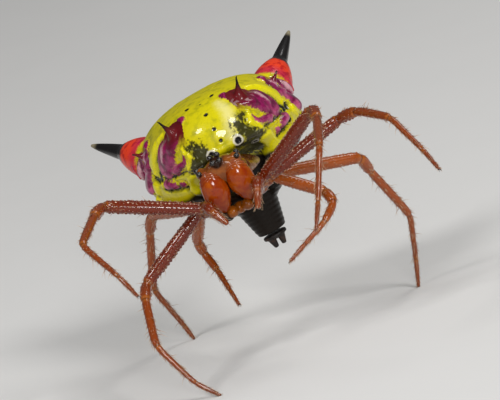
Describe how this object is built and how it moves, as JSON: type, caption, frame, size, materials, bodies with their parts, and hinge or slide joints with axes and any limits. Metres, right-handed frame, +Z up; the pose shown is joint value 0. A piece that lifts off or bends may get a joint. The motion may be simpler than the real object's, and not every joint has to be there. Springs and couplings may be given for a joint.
{
  "type": "spiny orb weaver spider",
  "caption": "Small spiny orb weaver spider with a broad horned abdomen, standing on some of its slender legs with the others raised.",
  "frame": {"origin": "on the floor, under the middle of the bounding box", "axes": "+Z up from the floor, -Y the way the spider faces, +X to its left"},
  "size_m": [0.0102, 0.013, 0.0078],
  "materials": {
    "abdomen": "glossy yellow shell with dark, magenta, red and black markings",
    "carapace": "glossy orange-brown shell",
    "chelicera": "wet-looking red-orange shell",
    "leg": "glossy red-brown shell with fine pale bristles",
    "dark": "satin black shell",
    "eye": "polished black"
  },
  "bodies": {
    "root": {"carapace": "carapace", "sternum": "dark", "mouthparts": "carapace", "chelicera_left": "chelicera", "fang_left": "dark", "palp_left": "leg", "eye_front_middle_left": "eye", "eye_rear_middle_left": "eye", "eye_front_side_left": "eye", "eye_rear_side_left": "eye", "chelicera_right": "chelicera", "fang_right": "dark", "palp_right": "leg", "eye_front_middle_right": "eye", "eye_rear_middle_right": "eye", "eye_front_side_right": "eye", "eye_rear_side_right": "eye", "abdomen": "abdomen", "pedicel": "dark", "spinnerets": "dark", "hip_left_1": "leg", "femur_left_1": "leg", "patella_left_1": "leg", "tibia_left_1": "leg", "foot_left_1": "leg", "hip_left_2": "leg", "femur_left_2": "leg", "patella_left_2": "leg", "tibia_left_2": "leg", "foot_left_2": "leg", "hip_left_3": "leg", "femur_left_3": "leg", "patella_left_3": "leg", "tibia_left_3": "leg", "foot_left_3": "leg", "hip_left_4": "leg", "femur_left_4": "leg", "patella_left_4": "leg", "tibia_left_4": "leg", "foot_left_4": "leg", "hip_right_1": "leg", "femur_right_1": "leg", "patella_right_1": "leg", "tibia_right_1": "leg", "foot_right_1": "leg", "hip_right_2": "leg", "femur_right_2": "leg", "patella_right_2": "leg", "tibia_right_2": "leg", "foot_right_2": "leg", "hip_right_3": "leg", "femur_right_3": "leg", "patella_right_3": "leg", "tibia_right_3": "leg", "foot_right_3": "leg", "hip_right_4": "leg", "femur_right_4": "leg", "patella_right_4": "leg", "tibia_right_4": "leg", "foot_right_4": "leg"}
  },
  "joints": []
}
